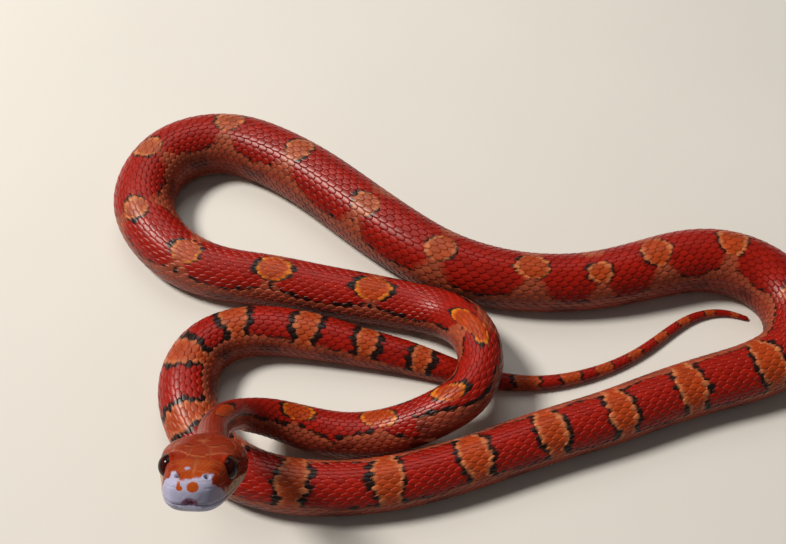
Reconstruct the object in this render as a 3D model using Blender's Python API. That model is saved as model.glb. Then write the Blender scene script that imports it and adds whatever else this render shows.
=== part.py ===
"""A yearling corn snake lying in loops with its head raised, at life size.

The body is one smooth tube along a route on the floor, parted into gently bent
lengths by thin cuts. Sizes are in millimetres here and become metres as each
mesh is made. +Z is up, and the snout points to -Y.
"""

import math

import bmesh
import bpy
import numpy as np
from mathutils import Euler, Matrix, Vector
from mathutils.bvhtree import BVHTree

MM = 0.001
GAP = 0.3

# The head's pose: the tip of the snout, and how the head is turned from facing -Y.
SNOUT = Vector((-39.35, -56.8, 49.5))
HEAD_PITCH = math.radians(-46.0)
HEAD_ROLL = math.radians(7.0)
HEAD_YAW = math.radians(4.7)
HEAD_ORDER = "YXZ"

# The head's outline: back from the snout, half width, height over and depth under the axis.
HEAD_OUTLINE = [
    (0.0, 1.2, 0.6, 0.9),
    (0.35, 2.2, 1.3, 1.75),
    (1.0, 3.0, 1.75, 2.5),
    (2.0, 3.6, 2.15, 3.15),
    (3.5, 4.2, 2.55, 3.6),
    (5.0, 4.7, 2.85, 3.75),
    (7.0, 5.2, 3.25, 3.75),
    (9.5, 5.7, 3.45, 3.6),
    (12.0, 6.1, 3.4, 3.5),
    (14.0, 6.2, 3.3, 3.3),
    (15.5, 5.8, 3.15, 3.05),
    (17.0, 4.5, 2.85, 2.7),
    (18.2, 3.2, 2.55, 2.25),
    (19.0, 2.55, 2.4, 2.0),
]
HEAD_LENGTH = HEAD_OUTLINE[-1][0]
HEAD_STATIONS = 44
STATION_EVEN = 0.25
STATION_CROWDING = 1.6
HEAD_OVER = 34
HEAD_UNDER = 18
FRONT_BULGE = 0.12

# How square the sections are: the crown by the length back, where 2 is an ellipse, and
# the jaw. The crown is squarest over the eyes, where the brow plates stand out.
HEAD_SQUARE = [(0.0, 2.35), (3.0, 2.8), (5.5, 3.5), (8.5, 3.4), (12.0, 2.6), (15.0, 2.35)]
JAW_SQUARE = 3.2

# The line of the mouth: back from the snout and height, then its groove.
MOUTH_LINE = [(0.0, -1.65), (2.0, -1.75), (5.0, -1.85), (9.0, -1.85), (12.0, -1.4), (14.0, -1.0)]
MOUTH_CORNER = 13.0
LIP_WIDTH = 0.3
LIP_GROOVE = 0.28

# The head sinks in round each eye, which stands out of the dent.
ORBIT_DEPTH = 0.75
ORBIT_REACH = 2.3
EYE_RADIUS = 1.72
EYE_BACK = 6.9
EYE_SIDE = 3.83
EYE_UP = 1.3
EYE_RINGS = 9
NOSTRIL_RADIUS = 0.3
NOSTRIL_RINGS = 5
NOSTRIL_BACK = 1.75
NOSTRIL_SIDE = 1.9
NOSTRIL_UP = 1.75

# The seams between the large plates of the crown, across and back from the snout. Each
# has its mirror image, but for those down the middle.
MIDDLE_SEAMS = [
    [(0.0, 0.9), (0.0, 6.05)],
    [(0.0, 10.3), (0.0, 14.75)],
]
PLATE_SEAMS = [
    [(-0.12, 2.56), (1.2, 2.45), (2.5, 2.75)],
    [(-0.12, 5.88), (0.8, 5.95), (1.75, 5.55), (2.7, 5.3), (3.4, 5.1)],
    [(1.8, 5.35), (1.5, 7.0), (1.25, 8.6), (1.05, 9.2), (0.55, 9.9), (-0.12, 10.55)],
    [(0.9, 9.2), (2.1, 9.25), (3.2, 9.35), (3.9, 9.5), (4.4, 10.8), (4.3, 12.4),
     (3.6, 14.0), (2.3, 14.9), (1.0, 14.8), (-0.12, 14.58)],
]
SEAM_DEPTH = 0.14
SEAM_HALF_WIDTH = 0.11
SEAM_CLEAR = 0.4
SEAM_STEP = 0.8

# The body's section is a loaf: round above, squarer below, flat where it lies.
# Whatever is within FLOOR_REACH of the floor lies on it.
SECTION_HEIGHT = 0.94
BELLY = 0.82
BELLY_SQUARE = 2.6
SECTION_SIDES = 22
FLOOR_REACH = 0.12
RING_STEP = 3.0

# The body starts on the head's own axis, so that the neck leaves it in line.
AXIS_START = 10.0
NAPE_HALF = 2.55

# The route from the nape to the tail tip, chosen by hand on the floor plan.
# Each point is x, y, the belly's height over the floor, and the half width.
ROUTE = {
    "neck_rise": [
        (-42.5, -34.6, 23.4, 2.6),
        (-42.1, -28.9, 16.0, 2.8),
        (-40.4, -25.2, 9.6, 3.1),
    ],
    "neck": [
        (-36.6, -23.4, 4.8, 3.6),
        (-30.4, -23.8, 1.3, 4.15),
        (-22.0, -25.0, 0.0, 4.4),
        (-12.0, -24.4, 1.6, 4.4),
    ],
    "first_bend_lower": [
        (-4.5, -22.8, 4.8, 4.4),
        (1.5, -19.2, 6.8, 4.4),
        (4.0, -12.6, 6.8, 4.5),
    ],
    "first_bend_upper": [
        (2.9, -5.6, 5.6, 4.7),
        (-1.6, 0.8, 2.4, 4.9),
        (-9.0, 4.4, 0.4, 5.1),
    ],
    "forebody": [
        (-18.0, 6.6, 0.0, 5.3),
        (-29.0, 9.0, 0.0, 5.4),
        (-40.0, 11.3, 0.0, 5.6),
    ],
    "left_bend_front": [
        (-50.5, 13.2, 0.0, 5.8),
        (-59.0, 17.0, 0.0, 6.1),
        (-65.5, 23.2, 0.0, 6.4),
    ],
    "left_bend_middle": [
        (-69.6, 31.0, 0.0, 6.7),
        (-69.6, 39.8, 0.0, 6.9),
    ],
    "left_bend_back": [
        (-65.5, 47.2, 0.0, 7.1),
        (-58.5, 51.0, 0.0, 7.15),
        (-50.5, 51.0, 0.0, 7.2),
    ],
    "midbody_left": [
        (-42.0, 47.4, 0.0, 7.2),
        (-33.0, 41.2, 0.0, 7.25),
        (-23.0, 32.3, 0.0, 7.25),
    ],
    "midbody": [
        (-12.5, 22.9, 0.0, 7.15),
        (-2.0, 15.5, 0.0, 6.9),
        (9.0, 11.6, 0.0, 6.5),
    ],
    "midbody_right": [
        (20.0, 10.4, 0.0, 6.2),
        (31.0, 11.2, 0.0, 6.2),
        (42.0, 13.8, 0.0, 6.5),
    ],
    "right_bend_back": [
        (52.0, 16.0, 0.0, 6.8),
        (61.0, 14.9, 0.0, 6.9),
    ],
    "right_bend_front": [
        (68.0, 9.8, 0.0, 6.7),
        (70.7, 2.0, 0.0, 6.4),
        (68.2, -5.6, 0.0, 6.1),
    ],
    "hindbody_right": [
        (61.0, -10.6, 0.0, 5.85),
        (50.5, -14.0, 0.0, 5.6),
        (40.0, -17.4, 0.0, 5.4),
    ],
    "hindbody": [
        (29.0, -21.5, 0.0, 5.25),
        (17.0, -25.4, 0.0, 5.15),
        (4.0, -30.0, 0.0, 5.05),
    ],
    "hindbody_left": [
        (-8.0, -33.8, 0.0, 5.0),
        (-20.0, -35.8, 0.0, 5.0),
        (-31.5, -35.6, 0.0, 5.1),
    ],
    "turn_under_head": [
        (-41.0, -33.0, 0.0, 5.3),
        (-48.2, -27.6, 0.0, 5.5),
    ],
    "lower_bend": [
        (-52.4, -20.4, 0.0, 5.65),
        (-53.6, -12.2, 0.0, 5.65),
        (-50.8, -5.6, 0.0, 5.5),
    ],
    "vent_length": [
        (-45.0, -2.2, 0.0, 5.3),
        (-37.0, -1.6, 0.0, 5.1),
        (-28.0, -3.0, 0.0, 4.7),
        (-18.5, -5.2, 0.0, 4.0),
    ],
    "tail_base": [
        (-9.0, -7.6, 0.0, 3.4),
        (0.0, -10.4, 0.0, 2.6),
        (8.0, -12.0, 0.0, 1.9),
    ],
    "tail": [
        (16.0, -12.4, 0.0, 1.55),
        (24.0, -11.1, 0.0, 1.35),
        (31.5, -8.5, 0.0, 1.2),
        (39.0, -4.4, 0.0, 1.12),
    ],
    "tail_tip": [
        (45.5, 0.4, 0.0, 1.05),
        (52.0, 4.2, 0.0, 0.95),
        (58.5, 5.0, 0.0, 0.75),
        (63.0, 3.6, 0.0, 0.5),
    ],
}

COLOURS = {
    "scarlet": (0.34, 0.020, 0.010, 1.0),
    "orange_red": (0.42, 0.070, 0.016, 1.0),
    "dark_eye": (0.012, 0.004, 0.004, 1.0),
}


def clear_scene():
    for thing in list(bpy.data.objects):
        bpy.data.objects.remove(thing, do_unlink=True)


def collection(name):
    made = bpy.data.collections.new(name)
    bpy.context.scene.collection.children.link(made)
    return made


def finish(name, colour, roughness):
    material = bpy.data.materials.new(name)
    material.use_nodes = True
    shader = material.node_tree.nodes["Principled BSDF"]
    shader.inputs["Base Color"].default_value = COLOURS[colour]
    shader.inputs["Roughness"].default_value = roughness
    shader.inputs["Metallic"].default_value = 0.0
    return material


class Curve:
    """A natural cubic through points, read by its own parameter."""

    def __init__(self, knots, values):
        self.knots = np.array(knots, dtype=float)
        self.values = np.array(values, dtype=float)
        step = np.diff(self.knots)
        slope = np.diff(self.values, axis=0) / step[:, None]
        system = np.eye(len(self.knots))
        right = np.zeros_like(self.values)
        for i in range(1, len(self.knots) - 1):
            system[i, i - 1] = step[i - 1]
            system[i, i] = 2.0 * (step[i - 1] + step[i])
            system[i, i + 1] = step[i]
            right[i] = 6.0 * (slope[i] - slope[i - 1])
        self.bends = np.linalg.solve(system, right)

    def read(self, where):
        where = np.atleast_1d(where)
        index = np.clip(np.searchsorted(self.knots, where) - 1, 0, len(self.knots) - 2)
        step = (self.knots[index + 1] - self.knots[index])[:, None]
        after = (where - self.knots[index])[:, None] / step
        before = 1.0 - after
        straight = before * self.values[index] + after * self.values[index + 1]
        curve = (before ** 3 - before) * self.bends[index]
        curve = curve + (after ** 3 - after) * self.bends[index + 1]
        return straight + curve * step ** 2 / 6.0


def head_pose():
    """The head's matrix: its own -Y is the way the snout points, its +Z is the crown."""
    turn = Euler((HEAD_PITCH, HEAD_ROLL, HEAD_YAW), HEAD_ORDER).to_matrix().to_4x4()
    return Matrix.Translation(SNOUT) @ turn


class Body:
    """The smooth centreline with its half width, read by length along it."""

    def __init__(self):
        pose = head_pose()
        points = []
        for back in (AXIS_START, HEAD_LENGTH):
            points.append((*(pose @ Vector((0.0, back, 0.0))), NAPE_HALF))
        firsts = [1]
        for stretch in ROUTE.values():
            firsts.append(len(points))
            for x, y, lift, half in stretch:
                points.append((x, y, lift + BELLY * SECTION_HEIGHT * half, half))
        del firsts[1]
        points = np.array(points)
        chords = np.linalg.norm(np.diff(points[:, :3], axis=0), axis=1)
        knots = np.concatenate([[0.0], np.cumsum(chords)])
        fine = np.linspace(0.0, knots[-1], 4001)
        self.line = Curve(knots, points).read(fine)
        steps = np.linalg.norm(np.diff(self.line[:, :3], axis=0), axis=1)
        self.along = np.concatenate([[0.0], np.cumsum(steps)])
        self.cuts = [float(np.interp(knots[i], fine, self.along)) for i in firsts]
        self.length = float(self.along[-1])

    def at(self, along):
        """The place, the way on and the half width at a length along the body."""
        def read(where):
            return [float(np.interp(where, self.along, self.line[:, i])) for i in range(4)]
        here = read(along)
        ahead = read(min(along + 0.5, self.length))
        behind = read(max(along - 0.5, 0.0))
        way = Vector(ahead[:3]) - Vector(behind[:3])
        return Vector(here[:3]), way.normalized(), here[3]


def power_point(turn, square):
    """A point of a rounded square of half size 1 at an angle."""
    power = 2.0 / square
    side = math.copysign(abs(math.cos(turn)) ** power, math.cos(turn))
    up = math.copysign(abs(math.sin(turn)) ** power, math.sin(turn))
    return side, up


def body_ring(place, way, half):
    """The loaf section at a place on the body, none of it under the floor."""
    side = way.cross(Vector((0.0, 0.0, 1.0))).normalized()
    up = side.cross(way)
    ring = []
    for i in range(SECTION_SIDES):
        turn = 2.0 * math.pi * (i + 0.5) / SECTION_SIDES
        across, height = power_point(turn, 2.0 if turn < math.pi else BELLY_SQUARE)
        height = max(height, -BELLY) * SECTION_HEIGHT
        point = place + side * across * half + up * height * half
        if point.z < FLOOR_REACH:
            point.z = 0.0
        ring.append(point)
    return ring


def closed_tube(rings, first_middle, last_middle):
    """A bmesh of quads from ring to ring, with a fan over each end."""
    mesh = bmesh.new()
    loops = [[mesh.verts.new(point * MM) for point in ring] for ring in rings]
    count = len(loops[0])
    for here, after in zip(loops, loops[1:]):
        for i in range(count):
            j = (i + 1) % count
            mesh.faces.new((here[i], here[j], after[j], after[i]))
    for loop, middle in ((loops[0], first_middle), (loops[-1], last_middle)):
        centre = mesh.verts.new(middle * MM)
        for i in range(count):
            mesh.faces.new((loop[i], loop[(i + 1) % count], centre))
    bmesh.ops.recalc_face_normals(mesh, faces=mesh.faces)
    return mesh


def mesh_object(name, mesh, group, material):
    data = bpy.data.meshes.new(name)
    mesh.to_mesh(data)
    mesh.free()
    made = bpy.data.objects.new(name, data)
    if material:
        made.data.materials.append(material)
    group.objects.link(made)
    return made


def body_length(name, body, start, end, parts):
    """One length of the body, closed at both ends."""
    count = max(3, round((end - start) / RING_STEP) + 1)
    rings = []
    middles = []
    for along in np.linspace(start, end, count):
        place, way, half = body.at(float(along))
        rings.append(body_ring(place, way, half))
        middles.append(place)
    mesh = closed_tube(rings, middles[0], middles[-1])
    return mesh_object(name, mesh, parts, finish(name, "scarlet", 0.42))


def make_body(parts):
    body = Body()
    names = list(ROUTE)
    for i, name in enumerate(names):
        start = body.cuts[i] + GAP / 2.0
        end = body.cuts[i + 1] - GAP / 2.0 if i + 1 < len(names) else body.length
        body_length(name, body, start, end, parts)


def orbit_dent(point):
    """How far the side of the head sinks in at a point of it, round the eye."""
    from_eye = math.hypot(point.y - EYE_BACK, point.z - EYE_UP)
    return ORBIT_DEPTH * math.exp(-((from_eye / ORBIT_REACH) ** 2))


def head_ring(back, half, over, under, mouth):
    """A section of the head, with points on both lips and in the groove between."""
    depth = min(0.999, max(0.0, -mouth / under))
    line = -math.asin(depth ** (JAW_SQUARE / 2.0))
    lip = LIP_WIDTH / max(half, 1.0)
    groove = LIP_GROOVE if back < MOUTH_CORNER and depth < 0.98 else 0.0
    turns = list(np.linspace(line + lip, math.pi - line - lip, HEAD_OVER))
    turns += [math.pi - line]
    turns += list(np.linspace(math.pi - line + lip, 2.0 * math.pi + line - lip, HEAD_UNDER))
    turns += [2.0 * math.pi + line]
    crown_square = np.interp(back, [row[0] for row in HEAD_SQUARE], [row[1] for row in HEAD_SQUARE])
    ring = []
    for i, turn in enumerate(turns):
        upper = math.sin(turn) > 0.0
        side, up = power_point(turn, crown_square if upper else JAW_SQUARE)
        point = Vector((side * half, back, up * (over if upper else under)))
        if i in (HEAD_OVER, HEAD_OVER + HEAD_UNDER + 1):
            point.x -= math.copysign(groove, point.x)
        side_share = min(1.0, abs(side) ** 2)
        point.x -= math.copysign(orbit_dent(point) * side_share, point.x)
        ring.append(point)
    return ring


def ball(name, place, radius, rings, group):
    """A closed sphere, placed in the head's own frame."""
    bpy.ops.mesh.primitive_uv_sphere_add(segments=2 * rings, ring_count=rings, radius=radius * MM)
    made = bpy.context.object
    made.name = name
    made.data.name = name
    for group_before in list(made.users_collection):
        group_before.objects.unlink(made)
    group.objects.link(made)
    made.rotation_euler = (0.0, math.pi / 2.0, 0.0)
    made.location = Vector(place) * MM
    return made


def cut(target, cutter):
    cutter.hide_render = True
    cutter.display_type = "WIRE"
    step = target.modifiers.new(cutter.name, "BOOLEAN")
    step.operation = "DIFFERENCE"
    step.solver = "EXACT"
    step.object = cutter


def seam_path(seam, way, surface):
    """Places on the crown along a seam, close together, each with the way out of it."""
    points = np.array(seam)
    lengths = np.linalg.norm(np.diff(points, axis=0), axis=1)
    knots = np.concatenate([[0.0], np.cumsum(lengths)])
    count = max(2, math.ceil(knots[-1] / SEAM_STEP) + 1)
    path = []
    for where in np.linspace(0.0, knots[-1], count):
        across, back = (float(np.interp(where, knots, points[:, i])) for i in range(2))
        above = Vector((way * across, back, HEAD_LENGTH)) * MM
        hit, out, _, _ = surface.ray_cast(above, Vector((0.0, 0.0, -1.0)))
        path.append((hit / MM, out))
    return path


def seam_wedge(name, seam, way, surface, frame, group):
    """A wedge let in to the crown along a seam, to cut the groove between two plates."""
    path = seam_path(seam, way, surface)
    flare = SEAM_HALF_WIDTH * (SEAM_DEPTH + SEAM_CLEAR) / SEAM_DEPTH
    rings = []
    for i, (place, out) in enumerate(path):
        before = path[max(i - 1, 0)][0]
        after = path[min(i + 1, len(path) - 1)][0]
        side = (after - before).cross(out).normalized()
        above = place + out * SEAM_CLEAR
        rings.append([place - out * SEAM_DEPTH, above + side * flare, above - side * flare])
    ends = [sum(ring, Vector()) / len(ring) for ring in (rings[0], rings[-1])]
    wedge = mesh_object(name, closed_tube(rings, *ends), group, None)
    wedge.parent = frame
    return wedge


def make_head(parts, cutters):
    """The head, with its eye sockets, nostrils and the seams of its crown cut in."""
    knots = [row[0] for row in HEAD_OUTLINE]
    outline = Curve(knots, [row[1:] for row in HEAD_OUTLINE])
    mouth = Curve([row[0] for row in MOUTH_LINE], [row[1:] for row in MOUTH_LINE])
    share = np.linspace(0.0, 1.0, HEAD_STATIONS)
    crowded = STATION_EVEN * share + (1.0 - STATION_EVEN) * share ** STATION_CROWDING
    backs = (HEAD_LENGTH - GAP / 2.0) * crowded
    rings = []
    for back in backs:
        half, over, under = outline.read(back)[0]
        rings.append(head_ring(float(back), half, over, under, float(mouth.read(back)[0, 0])))
    front = Vector((0.0, -FRONT_BULGE, 0.0))
    behind = Vector((0.0, float(backs[-1]), 0.0))
    mesh = closed_tube(rings, front, behind)
    surface = BVHTree.FromBMesh(mesh)
    head = mesh_object("head", mesh, parts, finish("head", "orange_red", 0.38))

    frame = bpy.data.objects.new("head_frame", None)
    parts.objects.link(frame)
    frame.location = SNOUT * MM
    frame.rotation_mode = HEAD_ORDER
    frame.rotation_euler = (HEAD_PITCH, HEAD_ROLL, HEAD_YAW)
    head.parent = frame
    for side, way in (("left", 1.0), ("right", -1.0)):
        eye_place = (way * EYE_SIDE, EYE_BACK, EYE_UP)
        eye = ball("eye_" + side, eye_place, EYE_RADIUS, EYE_RINGS, parts)
        eye.data.materials.append(finish("eye_" + side, "dark_eye", 0.08))
        socket = ball("socket_" + side, eye_place, EYE_RADIUS + GAP, EYE_RINGS, cutters)
        nostril_place = (way * NOSTRIL_SIDE, NOSTRIL_BACK, NOSTRIL_UP)
        nostril = ball("nostril_" + side, nostril_place, NOSTRIL_RADIUS, NOSTRIL_RINGS, cutters)
        for thing in (eye, socket, nostril):
            thing.parent = frame
        cut(head, socket)
        cut(head, nostril)
    for i, seam in enumerate(MIDDLE_SEAMS):
        cut(head, seam_wedge(f"seam_middle_{i}", seam, 1.0, surface, frame, cutters))
    for i, seam in enumerate(PLATE_SEAMS):
        cut(head, seam_wedge(f"seam_left_{i}", seam, 1.0, surface, frame, cutters))
        cut(head, seam_wedge(f"seam_right_{i}", seam, -1.0, surface, frame, cutters))


if __name__ == "__main__":
    clear_scene()
    snake = collection("corn_snake")
    cutters = collection("cutters")
    make_body(snake)
    make_head(snake, cutters)
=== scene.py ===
"""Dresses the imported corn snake: one skin, its scales, its head plates and its eyes.

Lengths are in millimetres until a mesh is made. "s" is the length along the snake
from the tip of its snout. "turn" is an angle round its section, with the crown at a
quarter turn. "arc" is the way round the section from the crown, in half widths.
"""

import math

import bmesh
import bpy
import numpy as np
from mathutils import Euler, Matrix, Vector
from mathutils.kdtree import KDTree


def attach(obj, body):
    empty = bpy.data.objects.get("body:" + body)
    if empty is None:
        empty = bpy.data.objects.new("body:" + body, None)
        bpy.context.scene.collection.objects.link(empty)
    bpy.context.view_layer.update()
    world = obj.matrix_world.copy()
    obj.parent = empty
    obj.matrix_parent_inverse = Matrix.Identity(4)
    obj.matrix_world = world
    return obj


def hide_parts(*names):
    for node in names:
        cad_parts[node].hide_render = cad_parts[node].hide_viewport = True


MM = 0.001
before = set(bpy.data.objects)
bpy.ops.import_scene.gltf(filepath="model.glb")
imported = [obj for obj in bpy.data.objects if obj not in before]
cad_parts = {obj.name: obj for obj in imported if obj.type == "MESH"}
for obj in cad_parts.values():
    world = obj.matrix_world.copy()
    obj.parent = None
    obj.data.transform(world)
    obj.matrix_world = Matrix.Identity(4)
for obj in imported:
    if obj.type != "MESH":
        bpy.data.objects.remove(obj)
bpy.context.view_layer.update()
bpy.ops.object.select_all(action="DESELECT")

# The snake's course

SNOUT = Vector((-39.35, -56.8, 49.5))
HEAD_TURN = [math.radians(-46.0), math.radians(7.0), math.radians(4.7)]
HEAD_ORDER = "YXZ"
HEAD_LENGTH = 19.0
HEAD_OUTLINE = [
    (0.0, 1.2, 0.6, 0.9), (0.35, 2.2, 1.3, 1.75), (1.0, 3.0, 1.75, 2.5), (2.0, 3.6, 2.15, 3.15),
    (3.5, 4.2, 2.55, 3.6), (5.0, 4.7, 2.85, 3.75), (7.0, 5.2, 3.25, 3.75), (9.5, 5.7, 3.45, 3.6),
    (12.0, 6.1, 3.4, 3.5), (14.0, 6.2, 3.3, 3.3), (15.5, 5.8, 3.15, 3.05), (17.0, 4.5, 2.85, 2.7),
    (18.2, 3.2, 2.55, 2.25), (19.0, 2.55, 2.4, 2.0),
]
MOUTH_LINE = [(0.0, -1.65), (2.0, -1.75), (5.0, -1.85), (9.0, -1.85), (12.0, -1.4), (14.0, -1.0),
              (19.0, -0.6)]
HEAD_SQUARE = [(0.0, 2.35), (3.0, 2.8), (5.5, 3.5), (8.5, 3.4), (12.0, 2.6), (15.0, 2.35)]
JAW_SQUARE, BELLY_SQUARE = 3.2, 2.6
SECTION_HEIGHT, BELLY = 0.94, 0.82
ORBIT_DEPTH, ORBIT_REACH = 0.75, 2.3
EYE_RADIUS, EYE_BACK, EYE_SIDE, EYE_UP = 1.72, 6.9, 3.83, 1.3
EYE_FORWARD, EYE_RAISED, EYE_OPEN = (math.radians(angle) for angle in (20.0, 4.0, 72.0))
EYE_RIM = 0.10
NOSTRIL = (1.9, 1.75, 1.75)
AXIS_START, NAPE_HALF = 10.0, 2.55
ROUTE = [
    (-42.5, -34.6, 23.4, 2.6), (-42.1, -28.9, 16.0, 2.8), (-40.4, -25.2, 9.6, 3.1),
    (-36.6, -23.4, 4.8, 3.6), (-30.4, -23.8, 1.3, 4.15), (-22.0, -25.0, 0.0, 4.4),
    (-12.0, -24.4, 1.6, 4.4), (-4.5, -22.8, 4.8, 4.4), (1.5, -19.2, 6.8, 4.4),
    (4.0, -12.6, 6.8, 4.5), (2.9, -5.6, 5.6, 4.7), (-1.6, 0.8, 2.4, 4.9),
    (-9.0, 4.4, 0.4, 5.1), (-18.0, 6.6, 0.0, 5.3), (-29.0, 9.0, 0.0, 5.4),
    (-40.0, 11.3, 0.0, 5.6), (-50.5, 13.2, 0.0, 5.8), (-59.0, 17.0, 0.0, 6.1),
    (-65.5, 23.2, 0.0, 6.4), (-69.6, 31.0, 0.0, 6.7), (-69.6, 39.8, 0.0, 6.9),
    (-65.5, 47.2, 0.0, 7.1), (-58.5, 51.0, 0.0, 7.15), (-50.5, 51.0, 0.0, 7.2),
    (-42.0, 47.4, 0.0, 7.2), (-33.0, 41.2, 0.0, 7.25), (-23.0, 32.3, 0.0, 7.25),
    (-12.5, 22.9, 0.0, 7.15), (-2.0, 15.5, 0.0, 6.9), (9.0, 11.6, 0.0, 6.5),
    (20.0, 10.4, 0.0, 6.2), (31.0, 11.2, 0.0, 6.2), (42.0, 13.8, 0.0, 6.5),
    (52.0, 16.0, 0.0, 6.8), (61.0, 14.9, 0.0, 6.9), (68.0, 9.8, 0.0, 6.7),
    (70.7, 2.0, 0.0, 6.4), (68.2, -5.6, 0.0, 6.1), (61.0, -10.6, 0.0, 5.85),
    (50.5, -14.0, 0.0, 5.6), (40.0, -17.4, 0.0, 5.4), (29.0, -21.5, 0.0, 5.25),
    (17.0, -25.4, 0.0, 5.15), (4.0, -30.0, 0.0, 5.05), (-8.0, -33.8, 0.0, 5.0),
    (-20.0, -35.8, 0.0, 5.0), (-31.5, -35.6, 0.0, 5.1), (-41.0, -33.0, 0.0, 5.3),
    (-48.2, -27.6, 0.0, 5.5), (-52.4, -20.4, 0.0, 5.65), (-53.6, -12.2, 0.0, 5.65),
    (-50.8, -5.6, 0.0, 5.5), (-45.0, -2.2, 0.0, 5.3), (-37.0, -1.6, 0.0, 5.1),
    (-28.0, -3.0, 0.0, 4.7), (-18.5, -5.2, 0.0, 4.0), (-9.0, -7.6, 0.0, 3.4),
    (0.0, -10.4, 0.0, 2.6), (8.0, -12.0, 0.0, 1.9), (16.0, -12.4, 0.0, 1.55),
    (24.0, -11.1, 0.0, 1.35), (31.5, -8.5, 0.0, 1.2), (39.0, -4.4, 0.0, 1.12),
    (45.5, 0.4, 0.0, 1.05), (52.0, 4.2, 0.0, 0.95), (58.5, 5.0, 0.0, 0.75),
    (63.0, 3.6, 0.0, 0.5),
]
STATION = 0.1
FLOOR_CLEARANCE = 0.01
COURSE_STEPS, SECTION_STEPS = 8001, 7201
HEAD_STIFF, HEAD_INTO_BODY = 2.0, 3.0
VENTRAL_EDGE = 2.20


def held(share):
    """A share kept between 0 and 1."""
    return np.clip(share, 0.0, 1.0)


def smooth(low, high, value):
    """0 up to low, 1 from high, and a soft step between."""
    share = held((value - low) / (high - low))
    return share * share * (3.0 - 2.0 * share)


def hill(distance, reach):
    return np.exp(-((distance / reach) ** 2))


def table(rows, where):
    """A value read off a short table whose first column is where."""
    return np.interp(where, *zip(*rows))


class Curve:
    """A natural cubic through points, read by its own parameter."""

    def __init__(self, knots, values):
        self.knots = np.array(knots, dtype=float)
        self.values = np.array(values, dtype=float)
        step = np.diff(self.knots)
        slope = np.diff(self.values, axis=0) / step[:, None]
        system = np.eye(len(self.knots))
        right = np.zeros_like(self.values)
        for i in range(1, len(self.knots) - 1):
            system[i, i - 1:i + 2] = step[i - 1], 2.0 * (step[i - 1] + step[i]), step[i]
            right[i] = 6.0 * (slope[i] - slope[i - 1])
        self.bends = np.linalg.solve(system, right)

    def read(self, where):
        where = np.atleast_1d(where)
        index = np.clip(np.searchsorted(self.knots, where) - 1, 0, len(self.knots) - 2)
        step = (self.knots[index + 1] - self.knots[index])[:, None]
        after = (where - self.knots[index])[:, None] / step
        before = 1.0 - after
        straight = before * self.values[index] + after * self.values[index + 1]
        curve = (before ** 3 - before) * self.bends[index]
        curve = curve + (after ** 3 - after) * self.bends[index + 1]
        return straight + curve * step ** 2 / 6.0


def unit(rows):
    return rows / np.linalg.norm(rows, axis=-1, keepdims=True)


def powered(value, power):
    return np.sign(value) * np.abs(value) ** power


def loaf(turn):
    """The body's section at half width 1: across and height."""
    across, height = np.cos(turn), np.sin(turn)
    power = np.where(height > 0.0, 1.0, 2.0 / BELLY_SQUARE)
    return powered(across, power), np.maximum(powered(height, power), -BELLY) * SECTION_HEIGHT


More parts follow.
